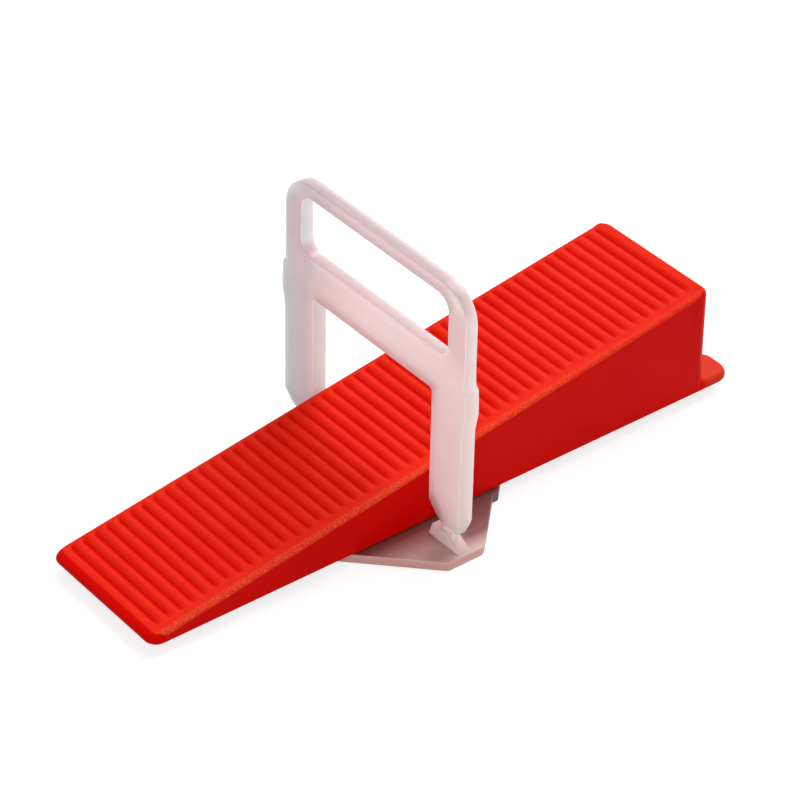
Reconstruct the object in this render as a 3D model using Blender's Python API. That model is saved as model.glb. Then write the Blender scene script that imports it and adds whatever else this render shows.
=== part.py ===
"""Tile levelling clip with the wedge that tightens it.

The clip is one moulding: a base plate that goes under two tiles, two stubs and thin necks at the joint line,
and a frame of two legs, a crossbar and a handle loop that stands up between the tiles. The wedge is a second
moulding, pushed through the frame's window along X so that its ribbed ramp bears on the crossbar.

All sizes are in metres and +Z is up. The origin is the middle of the base plate's underside. X runs along the
wedge from its tip to its thick end, and Y runs across the frame.
"""
import math

import bmesh
import bpy
from mathutils import Vector

# Base plate of the clip
PLATE_THICKNESS = 0.0014
PLATE_HALF_LENGTH = 0.0170
PLATE_HALF_WIDTH = 0.0194
PLATE_SIDE_FLAT = 0.0030
PLATE_STEP_START = 0.01085
PLATE_STEP_WIDTH = 0.0010
PLATE_CORNER_RADIUS = 0.0008
PLATE_EDGE_BEVEL = 0.0003

# Stubs that carry the necks, one at each side of the plate
STUB_THICKNESS = 0.0020
STUB_HEIGHT = 0.00195
STUB_INNER_LEAN = 0.0007
STUB_FLAT_LENGTH = 0.0025
STUB_OUTER_SETBACK = 0.0003
STUB_ROOT_DEPTH = 0.0006

# Necks that break when the clip is kicked off
NECK_THICKNESS = 0.0012
NECK_WIDTH = 0.0023
NECK_NOTCH_HEIGHT = 0.0001
NECK_NOTCH_SLOPE = 0.00055
NECK_ROOT_DEPTH = 0.0012

# Legs and the window between them
LEG_THICKNESS = 0.0023
LEG_WIDTH = 0.0063
WINDOW_WIDTH = 0.0252
WINDOW_TOP_HEIGHT = 0.0248
WINDOW_CORNER_RADIUS = 0.0006
FOOT_HEIGHT = 0.0040
FOOT_TAPER_WIDTH = 0.0008
FOOT_TAPER_HEIGHT = 0.0024
FOOT_BEVEL_RISE = 0.0009
FOOT_BEVEL_WIDTH = 0.0022
FOOT_BEVEL_HEIGHT = 0.0022

# Crossbar, shoulders and handle loop
CROSSBAR_HEIGHT = 0.0060
SHOULDER_WIDTH = 0.00055
SHOULDER_LOWER_START = 0.0039
SHOULDER_LOWER_END = 0.0012
SHOULDER_UPPER_START = 0.0027
SHOULDER_UPPER_END = 0.0033
HANDLE_THICKNESS = 0.0018
HANDLE_BAR_WIDTH = 0.0036
HANDLE_TOP_BAR_HEIGHT = 0.0020
HANDLE_OPENING_HEIGHT = 0.0091
HANDLE_OUTER_RADIUS = 0.0050
HANDLE_OPENING_RADIUS = 0.0022

# Wedge body
WEDGE_LENGTH = 0.0939
WEDGE_WIDTH = 0.0228
WEDGE_TIP_HEIGHT = 0.0011
WEDGE_THICK_HEIGHT = 0.0167
WEDGE_CORNER_RADIUS = 0.0016
WEDGE_EDGE_RADIUS = 0.0005
WEDGE_END_EDGE_RADIUS = 0.0009
WEDGE_SIDE_DRAFT = 0.0003

# Grip grooves across the ramp
GROOVE_PITCH = 0.00185
GROOVE_DEPTH = 0.00035
GROOVE_TIP_MARGIN = 0.00158
GROOVE_THICK_END_MARGIN = 0.0016
GROOVE_FAR_MARGIN = 0.0006
GROOVE_NEAR_MARGIN = 0.0022
GROOVE_RUN_OUT = 0.0006

# Lip at the thick end
LIP_LENGTH = 0.00515
LIP_THICKNESS = 0.0012
LIP_CORNER_RADIUS = 0.0024
LIP_SCOOP_DEPTH = 0.0024
LIP_SCOOP_HALF_WIDTH = 0.0067
LIP_ROOT_DEPTH = 0.0020
LIP_SIDE_SETBACK = 0.0001

# Hollow underside of the wedge
WEDGE_SKIN = 0.0016
WEDGE_WALL = 0.0016
WEDGE_WEB = 0.0013
POCKET_LENGTH = 0.0079
POCKET_LEAST_DEPTH = 0.0012

# How the wedge lies in the clip
WEDGE_TIP_OVERHANG = 0.0440
WEDGE_PLATE_CLEARANCE = 0.0003
WEDGE_FAR_LEG_CLEARANCE = 0.00045

# How finely curves are divided
CORNER_SEGMENTS = 5
HANDLE_CORNER_SEGMENTS = 10
LIP_SEGMENTS = 8
GROOVE_SEGMENTS = 4
TIP_SEGMENTS = 4
EDGE_SEGMENTS = 4
OVERSHOOT = 0.0020

# Colours, as linear red, green, blue
CLIP_COLOUR = (0.72, 0.58, 0.57, 1.0)
WEDGE_COLOUR = (0.76, 0.035, 0.012, 1.0)

# Places worked out from the sizes above
PLATE_TOP = PLATE_THICKNESS
STUB_TOP = PLATE_TOP + STUB_HEIGHT
LEG_INNER = WINDOW_WIDTH / 2
LEG_OUTER = LEG_INNER + LEG_WIDTH
HANDLE_BOTTOM = WINDOW_TOP_HEIGHT + CROSSBAR_HEIGHT
HANDLE_OPENING_TOP = HANDLE_BOTTOM + HANDLE_OPENING_HEIGHT
CLIP_TOP = HANDLE_OPENING_TOP + HANDLE_TOP_BAR_HEIGHT
WEDGE_BOTTOM = PLATE_TOP + WEDGE_PLATE_CLEARANCE
WEDGE_HALF_WIDTH = WEDGE_WIDTH / 2
WEDGE_OFFSET = LEG_INNER - WEDGE_FAR_LEG_CLEARANCE - WEDGE_HALF_WIDTH
RAMP_SLOPE = (WEDGE_THICK_HEIGHT - WEDGE_TIP_HEIGHT) / WEDGE_LENGTH


def clear_scene():
    """Remove every object that is already in the scene."""
    for item in list(bpy.data.objects):
        bpy.data.objects.remove(item, do_unlink=True)


def make_material(name, colour, roughness):
    """Return a plain plastic material."""
    material = bpy.data.materials.new(name)
    material.use_nodes = True
    shader = material.node_tree.nodes["Principled BSDF"]
    shader.inputs["Base Color"].default_value = colour
    shader.inputs["Roughness"].default_value = roughness
    shader.inputs["Metallic"].default_value = 0.0
    material.diffuse_color = colour
    return material


def make_object(name, mesh_data, material=None):
    """Turn a bmesh into an object of the scene."""
    bmesh.ops.recalc_face_normals(mesh_data, faces=mesh_data.faces)
    mesh = bpy.data.meshes.new(name)
    mesh_data.to_mesh(mesh)
    mesh_data.free()
    item = bpy.data.objects.new(name, mesh)
    bpy.context.scene.collection.objects.link(item)
    if material is not None:
        mesh.materials.append(material)
    return item


def make_helper(name, mesh_data):
    """Turn a bmesh into an object that only shapes another one."""
    helper = make_object(name, mesh_data)
    helper.display_type = "WIRE"
    helper.hide_render = True
    return helper


def combine(target, helper, operation):
    """Add an exact boolean of the helper to the target."""
    modifier = target.modifiers.new(helper.name, "BOOLEAN")
    modifier.operation = operation
    modifier.solver = "EXACT"
    modifier.object = helper


def round_corners(corners, segments):
    """Return a closed outline with an arc at each corner of the form (u, v, radius)."""
    outline = []
    for index, (corner_u, corner_v, radius) in enumerate(corners):
        corner = Vector((corner_u, corner_v))
        if radius <= 0.0:
            outline.append(corner)
            continue
        before = Vector(corners[index - 1][:2])
        after = Vector(corners[(index + 1) % len(corners)][:2])
        to_before = (before - corner).normalized()
        to_after = (after - corner).normalized()
        half_angle = to_before.angle(to_after) / 2
        centre = corner + (to_before + to_after).normalized() * radius / math.sin(half_angle)
        reach = radius / math.tan(half_angle)
        first = corner + to_before * reach - centre
        last = corner + to_after * reach - centre
        sweep = first.angle_signed(last)
        for step in range(segments + 1):
            turn = -sweep * step / segments
            turned_u = first.x * math.cos(turn) - first.y * math.sin(turn)
            turned_v = first.x * math.sin(turn) + first.y * math.cos(turn)
            outline.append(centre + Vector((turned_u, turned_v)))
    return outline


def prism(outline, place, start, end):
    """Extrude a closed outline from start to end; place turns (u, v, w) into a point."""
    mesh_data = bmesh.new()
    lower = [mesh_data.verts.new(place(point[0], point[1], start)) for point in outline]
    upper = [mesh_data.verts.new(place(point[0], point[1], end)) for point in outline]
    mesh_data.faces.new(lower)
    mesh_data.faces.new(upper)
    for index in range(len(outline)):
        follower = (index + 1) % len(outline)
        mesh_data.faces.new((lower[index], lower[follower], upper[follower], upper[index]))
    return mesh_data


def across_frame(along_y, along_z, along_x):
    """Place an outline drawn in the frame's own plane."""
    return (along_x, along_y, along_z)


def beside_frame(along_x, along_z, along_y):
    """Place an outline drawn as the frame is seen from its side."""
    return (along_x, along_y, along_z)


def seen_from_above(along_x, along_y, along_z):
    """Place an outline drawn in plan."""
    return (along_x, along_y, along_z)


def foot_corners(low_face, high_face):
    """Outline of a leg's foot and neck, from the leg's low-Y face round to its high-Y face."""
    neck_high = high_face - FOOT_BEVEL_WIDTH
    neck_low = neck_high - NECK_WIDTH
    neck_root = STUB_TOP - NECK_ROOT_DEPTH
    bevel_start = FOOT_HEIGHT + FOOT_BEVEL_RISE
    return [
        (low_face, FOOT_HEIGHT + FOOT_TAPER_HEIGHT, 0.0),
        (low_face + FOOT_TAPER_WIDTH, FOOT_HEIGHT, 0.0),
        (neck_low, FOOT_HEIGHT, 0.0),
        (neck_low, neck_root, 0.0),
        (neck_high, neck_root, 0.0),
        (neck_high, bevel_start, 0.0),
        (high_face, bevel_start + FOOT_BEVEL_HEIGHT, 0.0),
    ]


def shoulder_corners():
    """Outline of the far shoulder, where the legs pass into the handle, from the bottom up."""
    level = WINDOW_TOP_HEIGHT
    proud = LEG_OUTER + SHOULDER_WIDTH
    return [
        (LEG_OUTER, level - SHOULDER_LOWER_START, 0.0),
        (proud, level - SHOULDER_LOWER_END, 0.0),
        (proud, level + SHOULDER_UPPER_START, 0.0),
        (LEG_OUTER, level + SHOULDER_UPPER_END, 0.0),
    ]


def frame_outline():
    """Outline of feet, legs, shoulders and handle in the frame's own plane."""
    far_shoulder = shoulder_corners()
    near_shoulder = [(-along_y, along_z, radius) for along_y, along_z, radius in reversed(far_shoulder)]
    sharp = foot_corners(-LEG_OUTER, -LEG_INNER)
    sharp.append((-LEG_INNER, WINDOW_TOP_HEIGHT, WINDOW_CORNER_RADIUS))
    sharp.append((LEG_INNER, WINDOW_TOP_HEIGHT, WINDOW_CORNER_RADIUS))
    sharp.extend(foot_corners(LEG_INNER, LEG_OUTER))
    sharp.extend(far_shoulder)
    sharp.append((LEG_OUTER, CLIP_TOP, HANDLE_OUTER_RADIUS))
    sharp.append((-LEG_OUTER, CLIP_TOP, HANDLE_OUTER_RADIUS))
    sharp.extend(near_shoulder)
    return round_corners(sharp, HANDLE_CORNER_SEGMENTS)


def side_profile():
    """Outline of the frame seen from its side: thin neck, thick legs, thinner handle."""
    notch_top = STUB_TOP + NECK_NOTCH_HEIGHT
    levels = [
        (NECK_THICKNESS, -OVERSHOOT),
        (NECK_THICKNESS, notch_top),
        (LEG_THICKNESS, notch_top + NECK_NOTCH_SLOPE),
        (LEG_THICKNESS, WINDOW_TOP_HEIGHT),
        (HANDLE_THICKNESS, HANDLE_BOTTOM),
        (HANDLE_THICKNESS, CLIP_TOP + OVERSHOOT),
    ]
    front = [(-thickness / 2, height) for thickness, height in levels]
    back = [(thickness / 2, height) for thickness, height in reversed(levels)]
    return front + back


def plate_outline():
    """Outline of the base plate: corners cut at 45 degrees, one end stepped a little wider."""
    cut = PLATE_HALF_WIDTH + PLATE_SIDE_FLAT
    radius = PLATE_CORNER_RADIUS
    far_side = [
        (PLATE_HALF_LENGTH, cut - PLATE_HALF_LENGTH + PLATE_STEP_WIDTH, radius),
        (PLATE_STEP_START + PLATE_STEP_WIDTH, cut - PLATE_STEP_START, 0.0),
        (PLATE_STEP_START, cut - PLATE_STEP_START, 0.0),
        (PLATE_SIDE_FLAT, PLATE_HALF_WIDTH, radius),
        (-PLATE_SIDE_FLAT, PLATE_HALF_WIDTH, radius),
        (-PLATE_HALF_LENGTH, cut - PLATE_HALF_LENGTH, radius),
    ]
    near_side = [(along_x, -along_y, corner) for along_x, along_y, corner in reversed(far_side)]
    return round_corners(far_side + near_side, CORNER_SEGMENTS)


def stub_outline(side):
    """Outline of a stub in the frame's own plane, sloping down to the plate's edge."""
    inner = LEG_INNER
    outer = PLATE_HALF_WIDTH - STUB_OUTER_SETBACK
    flat_start = inner + STUB_INNER_LEAN
    root = PLATE_TOP - STUB_ROOT_DEPTH
    points = [
        (inner, root),
        (inner, PLATE_TOP),
        (flat_start, STUB_TOP),
        (flat_start + STUB_FLAT_LENGTH, STUB_TOP),
        (outer, PLATE_TOP),
        (outer, root),
    ]
    return [(side * along_y, along_z) for along_y, along_z in points]


def handle_opening_outline():
    """Outline of the finger opening in the handle."""
    half_width = LEG_OUTER - HANDLE_BAR_WIDTH
    radius = HANDLE_OPENING_RADIUS
    corners = [
        (-half_width, HANDLE_BOTTOM, radius),
        (half_width, HANDLE_BOTTOM, radius),
        (half_width, HANDLE_OPENING_TOP, radius),
        (-half_width, HANDLE_OPENING_TOP, radius),
    ]
    return round_corners(corners, CORNER_SEGMENTS)


def plate_solid():
    """Extrude the plate and break the edge of its top face."""
    mesh_data = prism(plate_outline(), seen_from_above, 0.0, PLATE_THICKNESS)
    middle = PLATE_THICKNESS / 2
    top_edges = [edge for edge in mesh_data.edges if all(vert.co.z > middle for vert in edge.verts)]
    bmesh.ops.bevel(
        mesh_data,
        geom=top_edges,
        offset=PLATE_EDGE_BEVEL,
        offset_type="OFFSET",
        segments=1,
        profile=0.5,
        affect="EDGES",
    )
    return mesh_data


def build_clip():
    """Model the clip: frame outline cut to its side profile, then opening, plate and stubs."""
    material = make_material("milky_plastic", CLIP_COLOUR, 0.38)
    frame = prism(frame_outline(), across_frame, -OVERSHOOT, OVERSHOOT)
    clip = make_object("levelling_clip", frame, material)

    reach = LEG_OUTER + SHOULDER_WIDTH + OVERSHOOT
    profile = make_helper("frame_side_profile", prism(side_profile(), beside_frame, -reach, reach))
    combine(clip, profile, "INTERSECT")

    opening_outline = handle_opening_outline()
    opening = make_helper("handle_opening", prism(opening_outline, across_frame, -OVERSHOOT, OVERSHOOT))
    combine(clip, opening, "DIFFERENCE")

    plate = make_helper("base_plate", plate_solid())
    combine(clip, plate, "UNION")

    for name, side in (("near_stub", -1), ("far_stub", 1)):
        half = STUB_THICKNESS / 2
        stub = make_helper(name, prism(stub_outline(side), across_frame, -half, half))
        combine(clip, stub, "UNION")
    return clip


def groove_count():
    """How many whole grooves fit between the two smooth ends of the ramp."""
    room = WEDGE_LENGTH - GROOVE_TIP_MARGIN - GROOVE_THICK_END_MARGIN
    return int(room / GROOVE_PITCH)


def ramp_stations():
    """Points along the ramp as (distance from the tip, share of the groove's depth)."""
    stations = []
    for groove in range(groove_count()):
        start = GROOVE_TIP_MARGIN + groove * GROOVE_PITCH
        for step in range(GROOVE_SEGMENTS):
            share = step / GROOVE_SEGMENTS
            depth = 1.0 - abs(math.cos(math.pi * share))
            stations.append((start + share * GROOVE_PITCH, depth))
    end = GROOVE_TIP_MARGIN + groove_count() * GROOVE_PITCH
    stations.append((end, 0.0))
    return stations


def thick_end_round():
    """Points of the rounded edge at the thick end as (distance from the tip, drop below the ramp)."""
    corners = [
        (0.0, WEDGE_TIP_HEIGHT, 0.0),
        (WEDGE_LENGTH, WEDGE_THICK_HEIGHT, WEDGE_END_EDGE_RADIUS),
        (WEDGE_LENGTH, 0.0, 0.0),
    ]
    arc = round_corners(corners, EDGE_SEGMENTS)[1:-1]
    return [(point.x, WEDGE_TIP_HEIGHT + RAMP_SLOPE * point.x - point.y) for point in arc]


def tip_nose():
    """Points round the tip in side view as (distance from the tip, height), from below."""
    radius = WEDGE_TIP_HEIGHT / 2
    points = []
    for step in range(TIP_SEGMENTS + 1):
        turn = math.pi * step / TIP_SEGMENTS
        points.append((radius - radius * math.sin(turn), radius - radius * math.cos(turn)))
    return points


def side_stations():
    """Stations across the wedge as (place across, end setback, edge drop, groove share)."""
    stations = []
    inner_far = WEDGE_HALF_WIDTH - GROOVE_FAR_MARGIN
    inner_near = WEDGE_HALF_WIDTH - GROOVE_NEAR_MARGIN
    insets = []
    for radius in (WEDGE_CORNER_RADIUS, WEDGE_EDGE_RADIUS):
        for step in range(EDGE_SEGMENTS + 1):
            insets.append(radius * (1 - math.cos(math.pi / 2 * step / EDGE_SEGMENTS)))
    places = [WEDGE_HALF_WIDTH - inset for inset in insets]
    places += [inset - WEDGE_HALF_WIDTH for inset in insets]
    groove_far = inner_far - GROOVE_RUN_OUT
    groove_near = GROOVE_RUN_OUT - inner_near
    places += [inner_far, groove_far, -inner_near, groove_near]
    for place in sorted(set(places)):
        inset = WEDGE_HALF_WIDTH - abs(place)
        in_corner = max(0.0, WEDGE_CORNER_RADIUS - inset)
        setback = WEDGE_CORNER_RADIUS - math.sqrt(WEDGE_CORNER_RADIUS ** 2 - in_corner ** 2)
        in_edge = max(0.0, WEDGE_EDGE_RADIUS - inset)
        drop = WEDGE_EDGE_RADIUS - math.sqrt(WEDGE_EDGE_RADIUS ** 2 - in_edge ** 2)
        grooved = groove_near <= place <= groove_far
        stations.append((place, setback, drop, 1.0 if grooved else 0.0))
    return stations


def wedge_section(place, setback, drop, groove_share):
    """Closed loop of points round the wedge at one station across it."""
    squeeze = (WEDGE_LENGTH - 2 * setback) / WEDGE_LENGTH
    loop = []
    for distance, height in tip_nose():
        loop.append((setback + distance * squeeze, height - drop * height / WEDGE_TIP_HEIGHT))
    for distance, share in ramp_stations():
        along = setback + distance * squeeze
        height = WEDGE_TIP_HEIGHT + RAMP_SLOPE * along - share * groove_share * GROOVE_DEPTH - drop
        loop.append((along, height))
    for distance, sag in thick_end_round():
        along = setback + distance * squeeze
        loop.append((along, WEDGE_TIP_HEIGHT + RAMP_SLOPE * along - sag - drop))
    loop.append((WEDGE_LENGTH - setback, 0.0))
    draft = WEDGE_SIDE_DRAFT / WEDGE_THICK_HEIGHT / WEDGE_HALF_WIDTH
    return [(along, place * (1.0 - draft * height), height) for along, height in loop]


def wedge_body():
    """Loft the ribbed body through its sections."""
    mesh_data = bmesh.new()
    loops = []
    for station in side_stations():
        section = wedge_section(*station)
        loops.append([mesh_data.verts.new(point) for point in section])
    size = len(loops[0])
    for first, second in zip(loops, loops[1:]):
        for index in range(size):
            follower = (index + 1) % size
            mesh_data.faces.new((first[index], first[follower], second[follower], second[index]))
    mesh_data.faces.new(loops[0])
    mesh_data.faces.new(loops[-1])
    return mesh_data


def lip_outline():
    """Outline of the lip in plan: rounded corners and a shallow scoop for a finger."""
    start = WEDGE_LENGTH - LIP_ROOT_DEPTH
    end = WEDGE_LENGTH + LIP_LENGTH
    half = WEDGE_HALF_WIDTH - LIP_SIDE_SETBACK
    corners = [(start, -half, 0.0), (end, -half, LIP_CORNER_RADIUS), (end, 0.0, 0.0)]
    near_half = round_corners(corners, LIP_SEGMENTS)[:-1]
    radius = (LIP_SCOOP_HALF_WIDTH ** 2 + LIP_SCOOP_DEPTH ** 2) / (2 * LIP_SCOOP_DEPTH)
    half_angle = math.asin(LIP_SCOOP_HALF_WIDTH / radius)
    scoop_centre = end - LIP_SCOOP_DEPTH + radius
    for step in range(LIP_SEGMENTS + 1):
        turn = half_angle * (step / LIP_SEGMENTS - 1)
        near_half.append(Vector((scoop_centre - radius * math.cos(turn), radius * math.sin(turn))))
    far_half = [Vector((point.x, -point.y)) for point in reversed(near_half[:-1])]
    return near_half + far_half


def pocket_rows():
    """Inner and outer edges of the pockets on each side of the middle web."""
    inner = WEDGE_WEB / 2
    outer = WEDGE_HALF_WIDTH - WEDGE_WALL
    return [(-outer, -inner), (inner, outer)]


def pocket_solids():
    """Prisms that hollow the underside, each with a roof that follows the ramp."""
    mesh_data = bmesh.new()
    first = (WEDGE_SKIN + POCKET_LEAST_DEPTH - WEDGE_TIP_HEIGHT) / RAMP_SLOPE
    last = WEDGE_LENGTH - WEDGE_WALL
    step = POCKET_LENGTH + WEDGE_WEB
    count = int((last - first + WEDGE_WEB) / step)
    first = last - count * step + WEDGE_WEB
    for index in range(count):
        start = first + index * step
        end = start + POCKET_LENGTH
        for inner, outer in pocket_rows():
            roof_start = WEDGE_TIP_HEIGHT + RAMP_SLOPE * start - WEDGE_SKIN
            roof_end = WEDGE_TIP_HEIGHT + RAMP_SLOPE * end - WEDGE_SKIN
            profile = [(start, -OVERSHOOT), (end, -OVERSHOOT), (end, roof_end), (start, roof_start)]
            low = [mesh_data.verts.new((along, inner, height)) for along, height in profile]
            high = [mesh_data.verts.new((along, outer, height)) for along, height in profile]
            mesh_data.faces.new(low)
            mesh_data.faces.new(high)
            for corner in range(4):
                follower = (corner + 1) % 4
                mesh_data.faces.new((low[corner], low[follower], high[follower], high[corner]))
    return mesh_data


def build_wedge():
    """Model the wedge: ribbed body, lip at the thick end, pockets below."""
    material = make_material("red_plastic", WEDGE_COLOUR, 0.42)
    wedge = make_object("wedge", wedge_body(), material)
    lip = make_helper("wedge_lip", prism(lip_outline(), seen_from_above, 0.0, LIP_THICKNESS))
    combine(wedge, lip, "UNION")
    pockets = make_helper("wedge_pockets", pocket_solids())
    combine(wedge, pockets, "DIFFERENCE")
    for item in (wedge, lip, pockets):
        item.location = (-WEDGE_TIP_OVERHANG, WEDGE_OFFSET, WEDGE_BOTTOM)
    return wedge


def main():
    """Build both mouldings."""
    clear_scene()
    build_clip()
    build_wedge()


main()
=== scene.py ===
# %% [markdown]
# # A tile levelling clip with its wedge
#
# When floor tiles are laid, a clip like this one goes under two neighbouring tiles. Its flat base plate lies in
# the adhesive, its frame stands up through the joint, and a ribbed wedge is pushed through the frame's window to
# press both tiles level. Later the frame is kicked off and breaks at its two thin necks.
#
# The object is therefore two mouldings: the milky clip and the red wedge. This lesson dresses a packed engineering
# model of them, so the first step loads that model. Its sizes are the real ones, in metres.

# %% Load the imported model
import math

import bmesh
import bpy
import numpy as np
from mathutils import Matrix, Vector
from mathutils.geometry import tessellate_polygon


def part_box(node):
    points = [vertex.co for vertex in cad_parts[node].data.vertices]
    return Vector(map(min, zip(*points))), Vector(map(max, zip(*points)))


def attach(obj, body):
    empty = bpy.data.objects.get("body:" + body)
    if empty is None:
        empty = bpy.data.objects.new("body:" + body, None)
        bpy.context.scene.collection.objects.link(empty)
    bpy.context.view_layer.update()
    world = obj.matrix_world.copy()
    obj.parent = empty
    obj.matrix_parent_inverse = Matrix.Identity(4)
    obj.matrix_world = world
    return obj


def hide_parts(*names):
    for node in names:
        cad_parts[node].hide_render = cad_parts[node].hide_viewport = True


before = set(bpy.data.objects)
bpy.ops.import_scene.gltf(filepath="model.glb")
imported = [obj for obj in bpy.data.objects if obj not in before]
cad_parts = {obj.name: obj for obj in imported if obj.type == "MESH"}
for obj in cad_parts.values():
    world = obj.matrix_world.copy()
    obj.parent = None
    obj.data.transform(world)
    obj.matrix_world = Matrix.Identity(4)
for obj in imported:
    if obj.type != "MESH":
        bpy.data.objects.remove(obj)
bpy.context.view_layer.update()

# %% [markdown]
# Every size below is the real object's, so it is written in millimetres, as on a drawing, and turned into metres
# once. The engineering model's boxes say where each moulding lies, and the surfaces are built inside them.

# %% Measure where the two mouldings lie
MM = 0.001
clip_low, clip_high = (np.array(corner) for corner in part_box("levelling_clip"))
wedge_low, wedge_high = (np.array(corner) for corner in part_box("wedge"))
print("clip, mm:", np.round((clip_high - clip_low) / MM, 2))
print("wedge, mm:", np.round((wedge_high - wedge_low) / MM, 2))

# %% [markdown]
# ## From arrays to meshes
#
# A surface here is a grid of points, with one parameter of the shape along each direction. Vertices could be pushed
# about by hand, but a formula on a whole array moves all of them together when one size changes.

# %% Helpers that turn grids of points into mesh faces
def grid_quads(rows, columns):
    """Corner numbers of the cells of a grid whose last column joins its first."""
    row = np.arange(rows - 1)[:, None]
    column = np.arange(columns)[None, :]
    following = (column + 1) % columns
    corners = (row * columns + column, row * columns + following,
               (row + 1) * columns + following, (row + 1) * columns + column)
    return np.stack(corners, axis=-1).reshape(-1, 4)


def new_piece(name, points, faces):
    """Make an object from an array of points in metres and a list of faces."""
    mesh = bpy.data.meshes.new(name)
    mesh.from_pydata(points.tolist(), [], [list(face) for face in faces])
    mesh.validate()
    piece = bpy.data.objects.new(name, mesh)
    bpy.context.scene.collection.objects.link(piece)
    return piece


def face_outwards(piece):
    """Turn every face of a closed mesh outwards."""
    working = bmesh.new()
    working.from_mesh(piece.data)
    bmesh.ops.recalc_face_normals(working, faces=working.faces)
    working.to_mesh(piece.data)
    working.free()


def bake(piece):
    """Keep what the modifiers make as plain mesh, and clear them."""
    evaluated = piece.evaluated_get(bpy.context.evaluated_depsgraph_get())
    baked = bpy.data.meshes.new_from_object(evaluated)
    piece.modifiers.clear()
    piece.data = baked


def soften(piece, angle_in_degrees):
    """Shade smoothly, keep edges sharper than the angle crisp, and let large faces lead the shading, so that flat
    faces look flat and only the narrow rounded edges turn."""
    piece.data.shade_smooth()
    piece.data.set_sharp_from_angle(angle=math.radians(angle_in_degrees))
    modifier = piece.modifiers.new("flat_faces_lead", "WEIGHTED_NORMAL")
    modifier.keep_sharp = True
    modifier.weight = 100
    bake(piece)


def read_numbers(items, name, width=1, kind=np.float32):
    """One property of all of a mesh's points, corners or faces, as an array with a row for each of them."""
    numbers = np.empty(len(items) * width, kind)
    items.foreach_get(name, numbers)
    return numbers.reshape(-1, width) if width > 1 else numbers


def report(piece):
    """Print a piece's size in millimetres and its number of faces."""
    points = read_numbers(piece.data.vertices, "co", 3)
    size = (points.max(axis=0) - points.min(axis=0)) / MM
    print(piece.name, "is", np.round(size, 2), "mm with", len(piece.data.polygons), "faces")


# %% [markdown]
# ## The wedge
#
# The wedge is one injection moulding. Its ramp carries close, rounded ridges that click past the clip's crossbar,
# so the wedge can't creep back. They stop short of the near edge, where the mould leaves a flat margin with a
# fine spark-eroded grain. The thick end has a low lip with a finger scoop, and the underside is hollow between
# thin webs, because thick plastic would shrink and sink.
#
# It could be a box cut by forty-nine small cutters, but each cut leaves stray slivers. A loft is cleaner: one
# closed outline in side view is drawn at each station across the wedge, and it changes from station to station.

# %% Sizes of the wedge
LIP_LENGTH = 5.15 * MM
LIP_THICKNESS = 1.2 * MM
WEDGE_LENGTH = wedge_high[0] - wedge_low[0] - LIP_LENGTH
WEDGE_HALF_WIDTH = (wedge_high[1] - wedge_low[1]) / 2
WEDGE_MIDDLE = (wedge_high[1] + wedge_low[1]) / 2
TIP_HEIGHT = 1.1 * MM
THICK_HEIGHT = 16.7 * MM
RAMP_SLOPE = (THICK_HEIGHT - TIP_HEIGHT) / WEDGE_LENGTH
CORNER_RADIUS = 1.6 * MM
EDGE_RADIUS = 0.5 * MM
SIDE_DRAFT = 0.3 * MM / THICK_HEIGHT / WEDGE_HALF_WIDTH
print("ramp rises", round(math.degrees(math.atan(RAMP_SLOPE)), 2), "degrees")

# %% [markdown]
# ### Stations across the wedge
#
# The stations lie close together where the outline changes fast: in the rounded corners seen from above, in the
# rounded top edges, where the grooves run out, and at the webs below. Elsewhere a wide step is enough.

# %% Place the stations
def quarter_steps(radius, count):
    """Distances from the side at which a quarter arc is cut into equal angles: radius times one minus cosine."""
    return radius * (1 - np.cos(np.linspace(0, math.pi / 2, count + 1)))


def fall_of_arc(inset, radius):
    """How far a quarter arc lies below its tangent at a distance inset from its start."""
    within = np.clip(radius - inset, 0, None)
    return radius - np.sqrt(np.clip(radius ** 2 - within ** 2, 0, None))


def ease(values, start, end):
    """Rise from 0 at start to 1 at end as three times the share squared less twice its cube."""
    share = np.clip((values - start) / (end - start), 0, 1)
    return share * share * (3 - 2 * share)


WEB = 1.3 * MM
WALL = 1.6 * MM
WALL_SLANT = 0.12 * MM
WIDEST_STEP = 0.6 * MM
pocket_outer = WEDGE_HALF_WIDTH - WALL
pocket_edges = np.array([WEB / 2, WEB / 2 + WALL_SLANT, pocket_outer - WALL_SLANT, pocket_outer])
side_insets = np.concatenate([quarter_steps(CORNER_RADIUS, 10), quarter_steps(EDGE_RADIUS, 6)])
one_side = np.concatenate([
    WEDGE_HALF_WIDTH - side_insets,
    pocket_edges,
    np.arange(0.0, WEDGE_HALF_WIDTH, WIDEST_STEP),
])
stations = np.unique(np.round(np.concatenate([-one_side, one_side]), 7))
print(len(stations), "stations across the wedge")

# %% [markdown]
# ### The ridged ramp
#
# Between two grooves the real ridge is a low arch, and the groove between two arches is a narrow valley. The size
# of a cosine has just that form. The valley's point is rounded a little, as the mould's cutter leaves it. Each
# groove ends a little differently at the margin, as the photograph shows, so its run-out changes too.

# %% Work out the ridges along the ramp
GROOVE_PITCH = 1.85 * MM
GROOVE_DEPTH = 0.35 * MM
GROOVE_COUNT = 49
GROOVE_START = 1.58 * MM
GROOVE_RUN_OUT = 0.75 * MM
GROOVE_STRAYS = [(0.12 * MM, 2.4, 0.0), (0.08 * MM, 5.1, 1.0)]
SHALLOWER_AT_TOP = 0.2
NOSE_LENGTH = 1.3 * MM
NEAR_MARGIN = 1.95 * MM
MARGIN_DROP = 0.1 * MM
GRAIN_BAND = 1.25 * MM
FAR_MARGIN = 0.5 * MM
END_EDGE_RADIUS = 0.9 * MM
POINTS_PER_GROOVE = 14
VALLEY_ROUNDNESS = 0.004

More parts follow.
